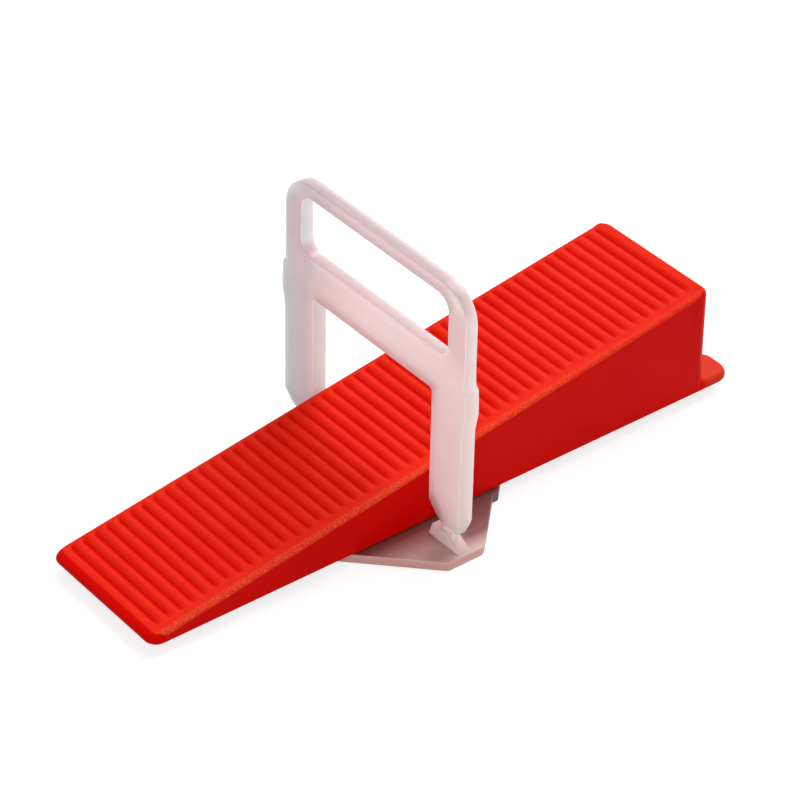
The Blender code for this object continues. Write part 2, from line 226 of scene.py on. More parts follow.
groove_end = GROOVE_START + GROOVE_COUNT * GROOVE_PITCH
ramp_end = WEDGE_LENGTH - END_EDGE_RADIUS * math.tan(math.radians(45) - math.atan(RAMP_SLOPE) / 2)
along_ramp = np.concatenate([
    np.linspace(NOSE_LENGTH, GROOVE_START, 4)[:-1],
    np.linspace(GROOVE_START, groove_end, GROOVE_COUNT * POINTS_PER_GROOVE + 1),
    np.linspace(groove_end, ramp_end, 4)[1:],
])


def groove_depth_share(distance):
    """0 on a crest and 1 in a valley: one minus the rounded size of the cosine of half a turn per groove."""
    turns = np.clip((distance - GROOVE_START) / GROOVE_PITCH, 0, GROOVE_COUNT)
    rounded = np.sqrt(np.cos(math.pi * turns) ** 2 + VALLEY_ROUNDNESS)
    crest = math.sqrt(1 + VALLEY_ROUNDNESS)
    valley = math.sqrt(VALLEY_ROUNDNESS)
    return (crest - rounded) / (crest - valley)


def groove_reach(distance, place):
    """1 where a groove has its full depth and 0 on the margins, with each groove's near end moved by the sum of
    two sines of its number."""
    number = np.floor((distance - GROOVE_START) / GROOVE_PITCH)
    stray = sum(size * np.sin(number * pace + shift) for size, pace, shift in GROOVE_STRAYS)
    near_end = -WEDGE_HALF_WIDTH + NEAR_MARGIN + stray
    far_end = WEDGE_HALF_WIDTH - FAR_MARGIN
    near = ease(place, near_end[None, :], near_end[None, :] + GROOVE_RUN_OUT)
    far = ease(-place, -far_end, -far_end + GROOVE_RUN_OUT)
    return near * far


print(GROOVE_COUNT, "grooves from", round(GROOVE_START / MM, 2), "to", round(groove_end / MM, 2), "mm")

# %% [markdown]
# ### The outline at each station
#
# The outline starts under the tip, goes round the tip's nose, up the ramp, over the rounded edge of the thick end,
# down to the lip, round the lip and back along the underside, where it steps up into each pocket. Near the sides
# the outline is a little shorter, which rounds the corners seen from above, and its top is a little lower, which
# rounds the long edges.

# %% Describe each stretch of the outline
NOSE_HEIGHT = 0.45 * MM
NOSE_UNDERCUT = 0.35 * MM
NOSE_POINTS = 8
END_EDGE_POINTS = 11


def tip_stretch(squeeze, setback, drop):
    """Two quarter ellipses: a small one from the underside up to the foremost point, and a long flat one from
    there back to the ramp, which it meets without a crease."""
    turn = np.linspace(0, math.pi / 2, NOSE_POINTS)[None, :]
    under_x = NOSE_UNDERCUT * (1 - np.sin(turn))
    under_z = NOSE_HEIGHT * (1 - np.cos(turn))
    over_x = NOSE_LENGTH * (1 - np.cos(turn[:, 1:-1]))
    over_z = TIP_HEIGHT + RAMP_SLOPE * over_x - (TIP_HEIGHT - NOSE_HEIGHT) * (1 - np.sin(turn[:, 1:-1]))
    x = setback + np.concatenate([under_x, over_x], axis=1) * squeeze
    z = np.concatenate([under_z, over_z], axis=1)
    return x, z - drop * np.clip(z / TIP_HEIGHT, 0, 1)


def ramp_stretch(squeeze, setback, drop, place):
    """The sloping plane less the grooves, which get shallower up the ramp, and less the fall of the long edges."""
    x = setback + along_ramp[None, :] * squeeze
    reach = groove_reach(along_ramp, place)
    shallower = 1 - SHALLOWER_AT_TOP * along_ramp / WEDGE_LENGTH
    grooves = GROOVE_DEPTH * (shallower * groove_depth_share(along_ramp))[None, :] * reach
    ridged = ease(along_ramp, 0, GROOVE_START) * ease(-along_ramp, -ramp_end, -groove_end)
    margin = MARGIN_DROP * (1 - reach) * ridged[None, :]
    z = TIP_HEIGHT + RAMP_SLOPE * x - grooves - margin - drop
    return x, z


def end_stretch(squeeze, setback, drop):
    """An arc from the ramp's direction to straight down, tangent to the ramp and to the end face."""
    slope_angle = math.atan(RAMP_SLOPE)
    turn = np.linspace(math.pi / 2 + slope_angle, 0, END_EDGE_POINTS)[None, 1:]
    centre_x = WEDGE_LENGTH - END_EDGE_RADIUS
    top_at_centre = TIP_HEIGHT + RAMP_SLOPE * centre_x
    centre_z = top_at_centre - END_EDGE_RADIUS / math.cos(slope_angle)
    x = centre_x + END_EDGE_RADIUS * np.cos(turn)
    z = centre_z + END_EDGE_RADIUS * np.sin(turn)
    sag = TIP_HEIGHT + RAMP_SLOPE * x - z
    placed = setback + x * squeeze
    return placed, TIP_HEIGHT + RAMP_SLOPE * placed - sag - drop


print("nose is", round(NOSE_LENGTH / MM, 2), "mm long, ramp stretch has", len(along_ramp), "points")

# %% [markdown]
# The lip is what a thumb pushes on. Seen from above it has two rounded lobes and a shallow scoop between them. All
# of that is one number for each station: how far the lip reaches past the end face.

# %% Shape the lip
SCOOP_HALF_WIDTH = 6.7 * MM
SCOOP_LIMIT = 1.1 * SCOOP_HALF_WIDTH
SCOOP_DEPTH = 2.4 * MM
SCOOP_CORNER_SOFTNESS = 0.3 * MM
LIP_CORNER_RADIUS = 2.4 * MM
LIP_EDGE_RADIUS = 0.8 * MM
LIP_LOW_RADIUS = 0.25 * MM
LIP_ROOT_RADIUS = 0.35 * MM
ROOT_POINTS, TOP_POINTS, LOW_POINTS = 5, 6, 4


def soft_least(first, second, softness):
    """The lesser of two values, with the switch between them rounded over the softness."""
    mix = np.clip(0.5 + 0.5 * (second - first) / softness, 0, 1)
    return second * (1 - mix) + first * mix - softness * mix * (1 - mix)


def lip_reach(place):
    """Lip length less the rounded corner at the side, and less the circle of the scoop in the middle."""
    inset = WEDGE_HALF_WIDTH - np.abs(place)
    at_corner = LIP_LENGTH - fall_of_arc(inset, LIP_CORNER_RADIUS)
    radius = (SCOOP_HALF_WIDTH ** 2 + SCOOP_DEPTH ** 2) / (2 * SCOOP_DEPTH)
    within = np.clip(np.abs(place), 0, SCOOP_LIMIT)
    at_scoop = LIP_LENGTH - SCOOP_DEPTH + radius - np.sqrt(radius ** 2 - within ** 2)
    return soft_least(at_corner, at_scoop, SCOOP_CORNER_SOFTNESS)


def lip_stretch(setback, place):
    """Down the end face, out along the lip's top after a small root fillet, and round its outer edge."""
    face = WEDGE_LENGTH - setback
    outer = WEDGE_LENGTH + lip_reach(place)
    high = LIP_THICKNESS - fall_of_arc(WEDGE_HALF_WIDTH - np.abs(place), LIP_EDGE_RADIUS)
    root = np.linspace(0, math.pi / 2, ROOT_POINTS)[None, :]
    top = np.linspace(math.pi / 2, 0, TOP_POINTS)[None, :]
    bottom = np.linspace(0, -math.pi / 2, LOW_POINTS)[None, 1:]
    root_x = face + LIP_ROOT_RADIUS * (1 - np.cos(root))
    root_z = high + LIP_ROOT_RADIUS * (1 - np.sin(root))
    top_x = outer - LIP_EDGE_RADIUS * (1 - np.cos(top))
    top_z = high - (high - LIP_LOW_RADIUS) * (1 - np.sin(top))
    low_x = outer - LIP_LOW_RADIUS * (1 - np.cos(bottom))
    low_z = np.broadcast_to(LIP_LOW_RADIUS * (1 + np.sin(bottom)), low_x.shape)
    x = np.concatenate([root_x, top_x, low_x], axis=1)
    return x, np.concatenate([root_z, top_z, low_z], axis=1)


print("lip reaches", round(float(lip_reach(np.array([0.0]))[0] / MM), 2), "mm in the scoop's middle")

# %% [markdown]
# The pockets below follow the ramp, so the plastic above them has the same thickness everywhere. A pocket is a
# rectangle in plan, so it can be written as one share along the wedge times one share across it.

# %% Shape the hollow underside
SKIN = 1.6 * MM
POCKET_LENGTH = 7.9 * MM
POCKET_LEAST_DEPTH = 1.2 * MM

pocket_first = (SKIN + POCKET_LEAST_DEPTH - TIP_HEIGHT) / RAMP_SLOPE
pocket_last = WEDGE_LENGTH - WALL
pocket_count = int((pocket_last - pocket_first + WEB) / (POCKET_LENGTH + WEB))
pocket_starts = pocket_last - (np.arange(pocket_count) + 1) * (POCKET_LENGTH + WEB) + WEB
pocket_steps = np.array([POCKET_LENGTH, POCKET_LENGTH - WALL_SLANT, WALL_SLANT, 0.0])
along_bottom = (pocket_starts[:, None] + pocket_steps[None, :]).ravel()
raised = np.tile([0.0, 1.0, 1.0, 0.0], pocket_count)


def underside_stretch(squeeze, setback, place):
    """Back along the floor of the wedge: the roof's height inside a pocket and zero on the webs."""
    x = setback + along_bottom[None, :] * squeeze
    roof = TIP_HEIGHT + RAMP_SLOPE * along_bottom - SKIN
    across = np.interp(np.abs(place), pocket_edges, [0.0, 1.0, 1.0, 0.0])
    return x, roof[None, :] * raised[None, :] * across


print(pocket_count, "pockets on each side of the middle web")

# %% [markdown]
# ### Loft the wedge
#
# The stretches are joined into one closed outline for each station. Two numbers are kept with every point for the
# material later: how near it lies to a ridge's crest, which places a painted sheen, and how much it belongs to the
# grained margin, which places the grain and its painted glints.

# %% Work out the wedge's points
GRAIN_WEAR = 0.65
WEAR_START = 0.45 * WEDGE_LENGTH
WEAR_END = 0.95 * WEDGE_LENGTH


def wedge_points():
    """Points of every station's outline, with the sides leaning in by the draft, and the two masks."""
    place = stations[:, None]
    inset = WEDGE_HALF_WIDTH - np.abs(place)
    setback = fall_of_arc(inset, CORNER_RADIUS)
    drop = fall_of_arc(inset, EDGE_RADIUS)
    squeeze = (WEDGE_LENGTH - 2 * setback) / WEDGE_LENGTH
    stretches = [
        tip_stretch(squeeze, setback, drop),
        ramp_stretch(squeeze, setback, drop, place),
        end_stretch(squeeze, setback, drop),
        lip_stretch(setback, place),
        underside_stretch(squeeze, setback, place),
    ]
    x, z = (np.concatenate(parts, axis=1) for parts in zip(*stretches))
    y = place * (1 - SIDE_DRAFT * z)
    crest = np.zeros_like(x)
    grain = np.zeros_like(x)
    first = stretches[0][0].shape[1]
    ramp = slice(first, first + len(along_ramp))
    reach = groove_reach(along_ramp, place)
    crest[:, ramp] = (1 - groove_depth_share(along_ramp)[None, :] * reach) * (inset > 0)
    band = ease(-inset, -GRAIN_BAND, -GRAIN_BAND / 2) * (place < 0) * (inset > 0)
    worn = 1 - GRAIN_WEAR * ease(along_ramp, WEAR_START, WEAR_END)
    grain[:, ramp] = band * (1 - reach) * worn[None, :]
    home = np.array([wedge_low[0], WEDGE_MIDDLE, wedge_low[2]])
    return np.stack([x, y, z], axis=-1) + home, crest, grain


print("grain wears off from", round(WEAR_START / MM, 1), "to", round(WEAR_END / MM, 1), "mm up the ramp")

# %% [markdown]
# The wedge's flat sides are the two outermost outlines. One face with hundreds of corners would be the shortest way
# to close each, but it would be cut into triangles without any area. A flat fan of triangles is sounder, around a
# point low beside the lip, from which the whole outline can be seen.

# %% Build the wedge
FAN_HEIGHT = 0.3 * MM
FAN_FROM_END = 4.0 * MM


def side_fans(rows, columns):
    """Triangles from each edge of the first and the last outline to a middle point, numbered after the grid."""
    ring = np.arange(columns)
    following = np.roll(ring, -1)
    last = (rows - 1) * columns
    middle = np.full(columns, rows * columns)
    near = np.stack([ring, following, middle], axis=-1)
    far = np.stack([ring + last, following + last, middle + 1], axis=-1)
    return np.concatenate([near, far])


def side_middles():
    """The fans' middle points, in the plane of each leaning side."""
    reach = WEDGE_HALF_WIDTH * (1 - SIDE_DRAFT * FAN_HEIGHT)
    x = wedge_low[0] + WEDGE_LENGTH - FAN_FROM_END
    return np.array([(x, WEDGE_MIDDLE + side * reach, wedge_low[2] + FAN_HEIGHT) for side in (-1, 1)])


def build_wedge():
    """Join the outlines with quads, close both sides and store the masks, which are 0 at the fans' middles."""
    points, crest, grain = wedge_points()
    rows, columns = points.shape[:2]
    every_point = np.concatenate([points.reshape(-1, 3), side_middles()])
    faces = list(grid_quads(rows, columns)) + list(side_fans(rows, columns))
    piece = new_piece("ribbed_wedge", every_point, faces)
    for name, values in (("crest", crest), ("grain", grain)):
        mask = piece.data.attributes.new(name, "FLOAT", "POINT")
        mask.data.foreach_set("value", np.append(values.ravel(), (0.0, 0.0)).astype(np.float32))
    face_outwards(piece)
    soften(piece, angle_in_degrees=38)
    return piece


wedge = build_wedge()
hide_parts("wedge")
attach(wedge, "wedge")
report(wedge)

# %% [markdown]
# ## The clip
#
# The clip is the second moulding: a thin plate with cut corners, two stubs that fill the joint, two thin necks
# that break, and the standing frame. It could be drawn as boxes joined together, but a real moulding has no
# square edges. Here each solid is a flat outline with a rim, which is a small profile round at both edges, and
# flat faces close it at the front and back.

# %% Helpers for rounded outlines
LEAST_RADIUS = 1e-9
LEAST_EDGE = 1e-6


def rounded_outline(corners, steps):
    """Replace each corner (u, v, radius) by an arc tangent to both of its sides. The arc's centre lies on the
    bisector at radius over the sine of half the corner's angle, and its points turn evenly between the sides."""
    data = np.array(corners, float)
    corner = data[:, :2]
    radius = np.maximum(data[:, 2:], LEAST_RADIUS)
    to_before = np.roll(corner, 1, axis=0) - corner
    to_after = np.roll(corner, -1, axis=0) - corner
    to_before /= np.linalg.norm(to_before, axis=1, keepdims=True)
    to_after /= np.linalg.norm(to_after, axis=1, keepdims=True)
    half = np.arccos(np.clip((to_before * to_after).sum(axis=1, keepdims=True), -1, 1)) / 2
    bisector = to_before + to_after
    bisector /= np.linalg.norm(bisector, axis=1, keepdims=True)
    centre = corner + bisector * radius / np.sin(half)
    first = to_before * (radius / np.tan(half)) + corner - centre
    side = to_before[:, :1] * to_after[:, 1:] - to_before[:, 1:] * to_after[:, :1]
    sweep = -np.sign(side) * (math.pi - 2 * half)
    turn = sweep * np.linspace(0, 1, steps + 1)[None, :]
    u = first[:, :1] * np.cos(turn) - first[:, 1:] * np.sin(turn)
    v = first[:, :1] * np.sin(turn) + first[:, 1:] * np.cos(turn)
    outline = np.stack([u + centre[:, :1], v + centre[:, 1:]], axis=-1).reshape(-1, 2)
    moved = np.linalg.norm(outline - np.roll(outline, 1, axis=0), axis=1) > LEAST_EDGE
    return outline[moved]


def inward_mitres(outline):
    """For each point, the vector that moves both neighbouring sides inwards by one unit."""
    ahead = np.roll(outline, -1, axis=0) - outline
    ahead /= np.linalg.norm(ahead, axis=1, keepdims=True)
    normal = np.stack([-ahead[:, 1], ahead[:, 0]], axis=-1)
    before = np.roll(normal, 1, axis=0)
    mitre = (normal + before) / (1 + (normal * before).sum(axis=1, keepdims=True))
    area = np.sum(outline[:, 0] * np.roll(outline[:, 1], -1) - outline[:, 1] * np.roll(outline[:, 0], -1))
    return mitre * np.sign(area)


print("helpers for outlines are ready")

# %% [markdown]
# A Bevel modifier could round a slab's edges too, but it gives up at the tight corners of the feet. The rim is
# therefore carried along the outline by a formula.

# %% Carry a rim along an outline and close it
def rim_profile(half_thickness, radius, steps):
    """Inward offset and height of the rim: a quarter arc at each edge, as radius times one minus cosine."""
    turn = np.linspace(0, math.pi / 2, steps + 1)
    offset = radius * (1 - np.sin(turn))
    height = half_thickness - radius * (1 - np.cos(turn))
    upper = np.stack([offset, height], axis=-1)
    lower = upper[::-1] * np.array([1.0, -1.0])
    return np.concatenate([upper, lower])


def slab(name, outlines, half_thickness, radius, steps, place):
    """A flat solid with rounded rims. Its first outline is the outside, and the others are holes. Each row of
    points is the whole outline, moved inwards by the offset of the rim's profile, at the profile's height."""
    points, faces, rings = [], [], []
    profile = rim_profile(half_thickness, radius, steps)
    start = 0
    for number, outline in enumerate(outlines):
        mitre = inward_mitres(outline) * (1 if number == 0 else -1)
        flat = outline[None, :, :] + mitre[None, :, :] * profile[:, None, :1]
        height = np.broadcast_to(profile[:, None, 1:], flat.shape[:2] + (1,))
        rows = np.concatenate([flat, height], axis=-1)
        points.append(rows.reshape(-1, 3))
        faces.extend((grid_quads(len(profile), len(outline)) + start).tolist())
        rings.append((start, len(profile), len(outline), flat[0], flat[-1]))
        start += rows.shape[0] * rows.shape[1]
    for end in (0, 1):
        loops = [[Vector((point[0], point[1], 0.0)) for point in ring[3 + end]] for ring in rings]
        numbers = np.concatenate([
            ring[0] + end * (ring[1] - 1) * ring[2] + np.arange(ring[2]) for ring in rings])
        faces.extend([[int(numbers[corner]) for corner in triangle] for triangle in tessellate_polygon(loops)])
    piece = new_piece(name, place(np.concatenate(points)), faces)
    face_outwards(piece)
    return piece


def stand_across(points):
    """Outline u becomes Y, outline v becomes Z and the slab's thickness becomes X."""
    return points[:, [2, 0, 1]]


print("helpers for slabs are ready")

# %% [markdown]
# ### The standing frame
#
# Seen along the wedge, the frame has two feet cut at an angle, two straight legs, a small shoulder on each side,
# a crossbar and a handle loop with a long opening. Both feet have the same shape, not mirrored, as the photograph
# shows. The list below walks round the outside once; each entry is across, up and corner radius in millimetres.

# %% Draw the frame's outline
LEG_INNER = 12.6
LEG_OUTER = 18.9
WINDOW_TOP = 24.8
HANDLE_BOTTOM = 30.8
HANDLE_OPENING_TOP = 39.9
FRAME_TOP = clip_high[2] / MM
SHOULDER = clip_high[1] / MM
STUB_TOP = 3.35
NECK_ROOT = STUB_TOP - 1.2
NECK_WIDTH = 2.3
FOOT_TAPER_WIDTH = 0.8
FOOT_TAPER = (4.0, 6.4)
FOOT_BEVEL_WIDTH = 2.2
FOOT_BEVEL = (4.9, 7.1)
SHOULDER_BELOW = (WINDOW_TOP - 3.9, WINDOW_TOP - 1.2)
SHOULDER_ABOVE = (WINDOW_TOP + 2.7, WINDOW_TOP + 3.3)
HANDLE_BAR = 3.6
HANDLE_RADIUS = 5.0
OPENING_RADIUS = 2.2


def foot(low, high):
    """Outline of one foot and its neck, from the leg's low side round to its high side."""
    neck_high = high - FOOT_BEVEL_WIDTH
    neck_low = neck_high - NECK_WIDTH
    bottom, top = FOOT_TAPER
    return [
        (low, top, 0.5), (low + FOOT_TAPER_WIDTH, bottom, 0.25), (neck_low, bottom, 0.15),
        (neck_low, NECK_ROOT, 0), (neck_high, NECK_ROOT, 0),
        (neck_high, FOOT_BEVEL[0], 0.15), (high, FOOT_BEVEL[1], 0.5),
    ]


far_shoulder = [
    (LEG_OUTER, SHOULDER_BELOW[0], 1.5), (SHOULDER, SHOULDER_BELOW[1], 0.8),
    (SHOULDER, SHOULDER_ABOVE[0], 0.35), (LEG_OUTER, SHOULDER_ABOVE[1], 0.35),
]
near_shoulder = [(-across, up, radius) for across, up, radius in reversed(far_shoulder)]
frame_corners = (
    foot(-LEG_OUTER, -LEG_INNER)
    + [(-LEG_INNER, WINDOW_TOP, 0.6), (LEG_INNER, WINDOW_TOP, 0.6)]
    + foot(LEG_INNER, LEG_OUTER)
    + far_shoulder
    + [(LEG_OUTER, FRAME_TOP, HANDLE_RADIUS), (-LEG_OUTER, FRAME_TOP, HANDLE_RADIUS)]
    + near_shoulder
)
opening_half = LEG_OUTER - HANDLE_BAR
opening_corners = [(side * opening_half, up, OPENING_RADIUS) for side, up in (
    (-1, HANDLE_BOTTOM), (1, HANDLE_BOTTOM), (1, HANDLE_OPENING_TOP), (-1, HANDLE_OPENING_TOP))]
frame_outline = rounded_outline(frame_corners, steps=12) * MM
opening_outline = rounded_outline(opening_corners, steps=12) * MM
print("frame outline has", len(frame_outline), "points, handle opening", len(opening_outline))

# %% [markdown]
# The frame is thinnest at the necks, thick in the legs, and it thins again towards the handle, which makes it
# stiff where the wedge pulls and lets it break only where it should. So the slab is first made as thick as the
# legs, cut into bands at the heights where the thickness changes, and then squeezed by a function of height.

# %% Build the frame with its changing thickness
LEG_THICKNESS = 2.4
NECK_THICKNESS = 1.3
HANDLE_THICKNESS = 2.0
FRAME_RIM = 0.24
THICKNESSES = [(0.0, NECK_THICKNESS), (3.9, NECK_THICKNESS), (5.6, LEG_THICKNESS), (WINDOW_TOP, LEG_THICKNESS),
               (HANDLE_BOTTOM, HANDLE_THICKNESS), (60.0, HANDLE_THICKNESS)]
thickness_heights, thickness_there = np.array(THICKNESSES).T * MM


def band_and_squeeze(piece):
    """Cut the mesh at each height of the list, then scale its thickness there by the interpolated value."""
    working = bmesh.new()
    working.from_mesh(piece.data)
    for height in thickness_heights[1:-1]:
        everything = working.verts[:] + working.edges[:] + working.faces[:]
        bmesh.ops.bisect_plane(working, geom=everything, dist=1e-7, plane_co=(0, 0, height), plane_no=(0, 0, 1))
    working.to_mesh(piece.data)
    working.free()
    points = read_numbers(piece.data.vertices, "co", 3)
    points[:, 0] *= np.interp(points[:, 2], thickness_heights, thickness_there) / (LEG_THICKNESS * MM)
    piece.data.vertices.foreach_set("co", points.ravel())
    piece.data.update()


clip = slab("milky_clip", [frame_outline, opening_outline], LEG_THICKNESS / 2 * MM, FRAME_RIM * MM,
            steps=5, place=stand_across)
band_and_squeeze(clip)
report(clip)

# %% [markdown]
# ### The base plate and the stubs
#
# The plate is an octagon, stepped a little wider at one end, and only 1.4 mm thick so that it fits in the adhesive.
# Each stub stands on it under a leg, as thick as the joint, with a slope towards the plate's edge.

# %% Build the plate and the stubs
PLATE_TOP = 1.4
PLATE_LENGTH = clip_high[0] / MM
PLATE_WIDTH = 19.4
PLATE_RIM_RADIUS = 0.2
SIDE_FLAT = 3.0
CUT = PLATE_WIDTH + SIDE_FLAT
STEP_START = 10.85
STEP_WIDTH = 1.0
STUB_FOOT = 0.8
STUB_LEAN = 0.7
STUB_FLAT_END = 3.2
STUB_SETBACK = 0.3
STUB_THICKNESS = 2.0
STUB_RIM = 0.15

far_half = [
    (PLATE_LENGTH, CUT - PLATE_LENGTH + STEP_WIDTH, 0.8), (STEP_START + STEP_WIDTH, CUT - STEP_START, 0.3),
    (STEP_START, CUT - STEP_START, 0.3), (SIDE_FLAT, PLATE_WIDTH, 1.7), (-SIDE_FLAT, PLATE_WIDTH, 0.9),
    (-PLATE_LENGTH, CUT - PLATE_LENGTH, 0.8),
]
near_half = [(along, -across, radius) for along, across, radius in reversed(far_half)]
plate_outline = rounded_outline(far_half + near_half, steps=6) * MM


def lie_flat(points):
    """Outline u stays X, outline v stays Y, and the slab rests on the ground."""
    return points + np.array([0.0, 0.0, PLATE_TOP / 2 * MM])


plate = slab("plate_form", [plate_outline], PLATE_TOP / 2 * MM, PLATE_RIM_RADIUS * MM, steps=4, place=lie_flat)


def stub_outline(side):
    """Inner face, top, slope to the plate's edge, and a root sunk into the plate."""
    outer = PLATE_WIDTH - STUB_SETBACK
    points = [
        (LEG_INNER, STUB_FOOT, 0), (LEG_INNER, PLATE_TOP, 0), (LEG_INNER + STUB_LEAN, STUB_TOP, 0.2),
        (LEG_INNER + STUB_FLAT_END, STUB_TOP, 0.4), (outer, PLATE_TOP, 0), (outer, STUB_FOOT, 0),
    ]
    return rounded_outline([(side * across, up, radius) for across, up, radius in points], steps=4) * MM


stubs = [slab("stub_form_" + word, [stub_outline(side)], STUB_THICKNESS / 2 * MM, STUB_RIM * MM,
              steps=3, place=stand_across) for word, side in (("near", -1), ("far", 1))]
print("plate and", len(stubs), "stubs")

# %% [markdown]
# All of this is one moulding, so the solids are united. An exact boolean keeps the rounded rims as they are and
# leaves a crisp inner line only where the real mould has one, at the feet of the stubs.

# %% Unite the clip
def unite(target, others):
    """Join the others to the target with exact booleans and keep the result as plain mesh."""
    for other in others:
        modifier = target.modifiers.new(other.name, "BOOLEAN")
        modifier.operation = "UNION"
        modifier.solver = "EXACT"
        modifier.object = other
    bake(target)
    for other in others:
        bpy.data.objects.remove(other)


unite(clip, [plate] + stubs)
face_outwards(clip)
soften(clip, angle_in_degrees=32)
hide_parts("levelling_clip")
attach(clip, "clip")
report(clip)

# %% [markdown]
# Here a face's tone is painted light and shade, chosen by the way it looks: painted shade on the tops, a painted
# highlight on the rounded edges, and painted light and shade on the sides. Such tones could be painted on by hand,
# but the direction of each corner gives them exactly, as numbers stored with the mesh.

# %% Measure which way the clip's faces look
TOUCH = 0.02


def clip_masks(height, normals, flat):
    """How much each corner of a face looks up or aside, lies on a rounded edge, or on the plate's flat top. On the
    low faces the face's own direction counts, so that a tone can't run along a long triangle."""
    high = height > (HANDLE_BOTTOM - 1) * MM
    low = height < (STUB_TOP + TOUCH) * MM
    steady = np.where(low[:, None], flat, normals)
    forward = np.abs(normals[:, 0])
    # These masks place painted shade on faces that look up, a painted highlight on rounded edges, painted light and
    # shade on the sides, and the painted shadow and reflection on the plate's top.
    return {
        "up": ease(steady[:, 2], 0.1, 0.6) * ease(-np.abs(steady[:, 0]), -0.7, -0.1) * (high | low),
        "edge": ease(forward, 0.1, 0.35) * ease(-forward, -0.97, -0.85) * ease(-normals[:, 2], -0.3, 0.0),
        "aside": ease(np.maximum(np.abs(normals[:, 1]), -normals[:, 2]), 0.3, 0.9),
        "seat": (np.abs(height - PLATE_TOP * MM) < TOUCH * MM) & (normals[:, 2] > 0.7),
    }


def mark_clip(mesh):
    """Store the masks with the corners of the faces."""
    height = read_numbers(mesh.vertices, "co", 3)[read_numbers(mesh.loops, "vertex_index", 1, np.int32), 2]
    normals = read_numbers(mesh.corner_normals, "vector", 3)
    corner_counts = read_numbers(mesh.polygons, "loop_total", 1, np.int32)
    flat = np.repeat(read_numbers(mesh.polygon_normals, "vector", 3), corner_counts, axis=0)
    for name, values in clip_masks(height, normals, flat).items():
        mask = mesh.attributes.new(name, "FLOAT", "CORNER")
        mask.data.foreach_set("value", values.astype(np.float32))
        print(name, "marks", int((values > 0.5).sum()), "corners")


mark_clip(clip.data)

# %% [markdown]
# ## Finishes
#
# Both mouldings are plastic straight from the mould, so neither has paint or a cut surface. What the eye reads as
# real is small: a faint unevenness in the gloss and a fine grain. The colours also carry painted light and shade,
# such as a painted sheen on the ridges' crests that leaves the valleys a deeper red. All of that is made with
# nodes, and a few helpers keep the node trees short to write.

# %% Helpers for node trees
MIX_COLOUR_SOCKETS = (6, 7)


def plug(tree, socket, value):
    """Link a socket to a node's output, or set it to a number, a colour or a vector."""
    if isinstance(value, bpy.types.NodeSocket):
        tree.links.new(value, socket)
    else:
        socket.default_value = value


def fill(tree, node, **inputs):
    """Plug a node's sockets by name, with underscores for spaces."""
    for name, value in inputs.items():
        plug(tree, node.inputs[name.replace("_", " ")], value)


def add_node(tree, kind, **inputs):
    """Add a node and plug its sockets by name."""
    node = tree.nodes.new(kind)
    fill(tree, node, **inputs)
    return node


def math_node(tree, operation, first, second):
    """Add a Math node with two inputs and return its output."""
    node = tree.nodes.new("ShaderNodeMath")
    node.operation = operation
    plug(tree, node.inputs[0], first)
    plug(tree, node.inputs[1], second)
    return node.outputs[0]


def mix_colours(tree, share, first, second):
    """Mix two colours by a share; each colour is a socket or three numbers."""
    node = tree.nodes.new("ShaderNodeMix")
    node.data_type = "RGBA"
    plug(tree, node.inputs[0], share)
    for number, colour in zip(MIX_COLOUR_SOCKETS, (first, second)):
        plug(tree, node.inputs[number], (*colour, 1.0) if isinstance(colour, tuple) else colour)
    return node.outputs[2]


print("node helpers are ready")

# %% [markdown]
# One group gives both plastics their moulded surface. Each material could carry its own two noises, but then a
# change for one would miss the other. The group puts out numbers only: a slow flow and a fine grain.

# %% Build the group for moulded plastic
def moulded_surface_group():
    """Slow unevenness for gloss and colour, and a fine height for the bump, from noise on the given vector."""
    group = bpy.data.node_groups.new("moulded_surface", "ShaderNodeTree")
    group.interface.new_socket("Vector", in_out="INPUT", socket_type="NodeSocketVector")
    for name, scale in (("Flow Scale", 140.0), ("Grain Scale", 2600.0)):
        socket = group.interface.new_socket(name, in_out="INPUT", socket_type="NodeSocketFloat")
        socket.default_value = scale
    given = group.nodes.new("NodeGroupInput").outputs
    for name in ("Flow", "Grain"):
        group.interface.new_socket(name, in_out="OUTPUT", socket_type="NodeSocketFloat")
    result = group.nodes.new("NodeGroupOutput")
    for name, detail, roughness in (("Flow", 3.0, 0.55), ("Grain", 2.0, 0.6)):
        noise = add_node(group, "ShaderNodeTexNoise", Vector=given["Vector"], Scale=given[name + " Scale"],
                         Detail=detail, Roughness=roughness)
        group.links.new(noise.outputs["Fac"], result.inputs[name])
    return group


moulded_surface = moulded_surface_group()
print("group", moulded_surface.name, "with", len(moulded_surface.nodes), "nodes")

# %% [markdown]
# ### Red plastic
#
# The wedge is a saturated red with a satin gloss. The crests of the ridges carry a painted sheen, a lighter and
# more orange red than the valleys and the sides. The lip gets a paler red as a painted sheen, kept as dark as the
# valleys as painted shade against the strong light on its flat top. The grained margin carries tiny paler points,
# which are painted glints, and grain and glints are worn away towards the thick end. A painted texture could hold
# all of that, but masks stored with the mesh follow every ridge exactly and need no picture.

# %% Make the red plastic
def stored(tree, name):
    """Read a number that was stored with the mesh."""
    node = tree.nodes.new("ShaderNodeAttribute")
    node.attribute_name = name
    return node.outputs["Fac"]


def share_along(tree, axis, start, end):
    """0 up to the start and 1 from the end, both in millimetres along an axis of Object coordinates."""
    node = add_node(tree, "ShaderNodeMapRange", Value=axis, From_Min=start * MM, From_Max=end * MM)
    return node.outputs[0]


